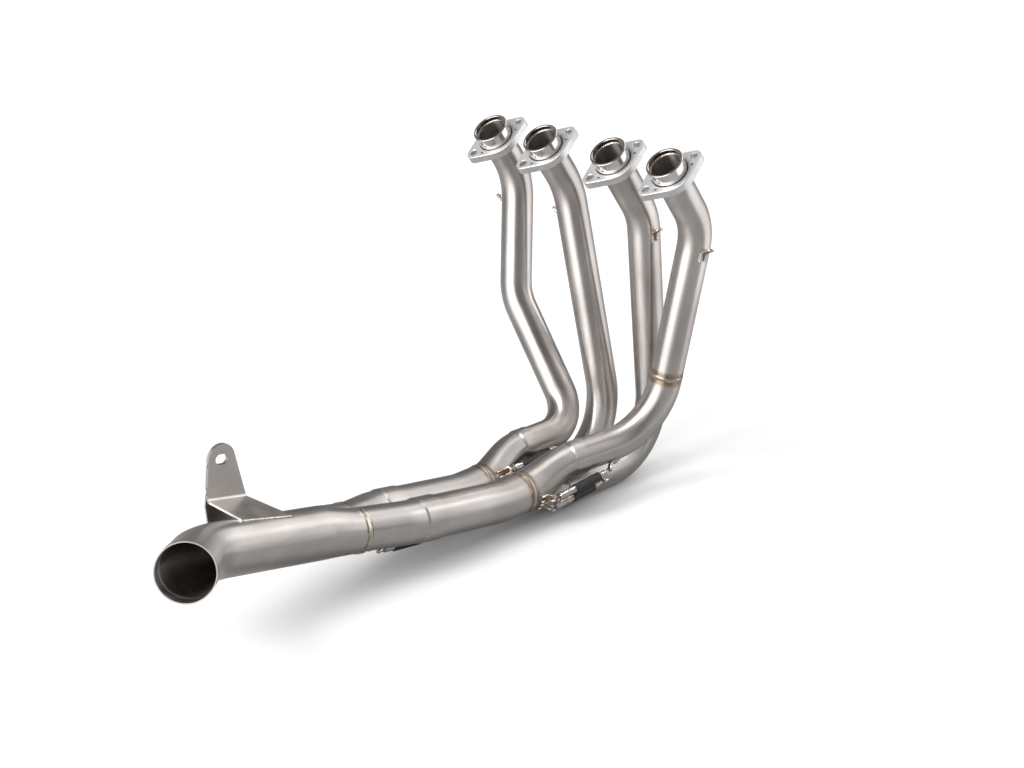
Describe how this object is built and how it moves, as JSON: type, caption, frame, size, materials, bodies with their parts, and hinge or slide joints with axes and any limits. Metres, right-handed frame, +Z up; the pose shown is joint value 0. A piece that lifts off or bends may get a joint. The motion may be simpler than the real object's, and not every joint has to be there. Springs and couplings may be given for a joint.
{
  "type": "motorcycle exhaust header",
  "caption": "Stainless exhaust header for an in-line engine: bent primary tubes with loose two-eared flanges merge in pairs, then into one outlet pipe with a bracket.",
  "frame": {"origin": "middle of the bottom of the bounding box", "axes": "+X along the row of flanges towards the side the outlet turns to, +Y towards the front of the motorcycle, +Z up"},
  "size_m": [0.3246, 0.7502, 0.4223],
  "materials": {
    "tube": "satin stainless, long brushed grain, faint straw tint at the welds",
    "flange": "milled, bead-blasted bright satin",
    "sleeve": "turned and polished",
    "weld": "weld with straw to brown heat tint",
    "hook": "bright wire with weld tint",
    "spring": "bright spring wire",
    "rubber": "matt black rubber",
    "bracket": "satin stainless sheet"
  },
  "bodies": {
    "header": {"bracket_back_sheet": "bracket", "bracket_front_sheet": "bracket", "bracket_welds": "weld", "butt_weld_tube_4": "weld", "collector_cone": "tube", "collector_inlet_far": "tube", "collector_inlet_near": "tube", "collector_weld": "weld", "inlet_sleeve_1": "sleeve", "inlet_sleeve_2": "sleeve", "inlet_sleeve_3": "sleeve", "inlet_sleeve_4": "sleeve", "merge_stub_1": "tube", "merge_stub_2": "tube", "merge_stub_3": "tube", "merge_stub_4": "tube", "merge_weld_far": "weld", "merge_weld_near": "weld", "outlet_pipe": "tube", "primary_tube_1": "tube", "primary_tube_2": "tube", "primary_tube_3": "tube", "primary_tube_4_lower": "tube", "primary_tube_4_upper": "tube", "secondary_pipe_far": "tube", "secondary_pipe_near": "tube", "spring_hook_collector_far": "hook", "spring_hook_collector_near": "hook", "spring_hook_merge_1": "hook", "spring_hook_merge_2": "hook", "spring_hook_merge_3": "hook", "spring_hook_merge_4": "hook", "spring_hook_pipe_far": "hook", "spring_hook_pipe_near": "hook", "spring_hook_tube_1_joint": "hook", "spring_hook_tube_1_upper": "hook", "spring_hook_tube_2_joint": "hook", "spring_hook_tube_2_upper": "hook", "spring_hook_tube_3_joint": "hook", "spring_hook_tube_3_upper": "hook", "spring_hook_tube_4_joint": "hook", "spring_hook_tube_4_upper": "hook", "spring_pipe_far": "spring", "spring_pipe_near": "spring", "spring_sleeve_pipe_far": "rubber", "spring_sleeve_pipe_near": "rubber", "spring_sleeve_tube_1": "rubber", "spring_sleeve_tube_2": "rubber", "spring_sleeve_tube_3": "rubber", "spring_sleeve_tube_4": "rubber", "spring_tube_1": "spring", "spring_tube_2": "spring", "spring_tube_3": "spring", "spring_tube_4": "spring"},
    "flange_1": {"flange_1": "flange"},
    "flange_2": {"flange_2": "flange"},
    "flange_3": {"flange_3": "flange"},
    "flange_4": {"flange_4": "flange"}
  },
  "joints": [
    {"name": "flange_1_turn", "type": "hinge", "parent": "header", "child": "flange_1", "pos_m": [-0.13277, 0.2658, 0.39697], "axis": [0, -0.6088, 0.7934], "continuous": true},
    {"name": "flange_2_turn", "type": "hinge", "parent": "header", "child": "flange_2", "pos_m": [-0.05177, 0.2658, 0.39697], "axis": [0, -0.6088, 0.7934], "continuous": true},
    {"name": "flange_3_turn", "type": "hinge", "parent": "header", "child": "flange_3", "pos_m": [0.05123, 0.2658, 0.39697], "axis": [0, -0.6088, 0.7934], "continuous": true},
    {"name": "flange_4_turn", "type": "hinge", "parent": "header", "child": "flange_4", "pos_m": [0.13223, 0.2658, 0.39697], "axis": [0, -0.6088, 0.7934], "continuous": true}
  ]
}
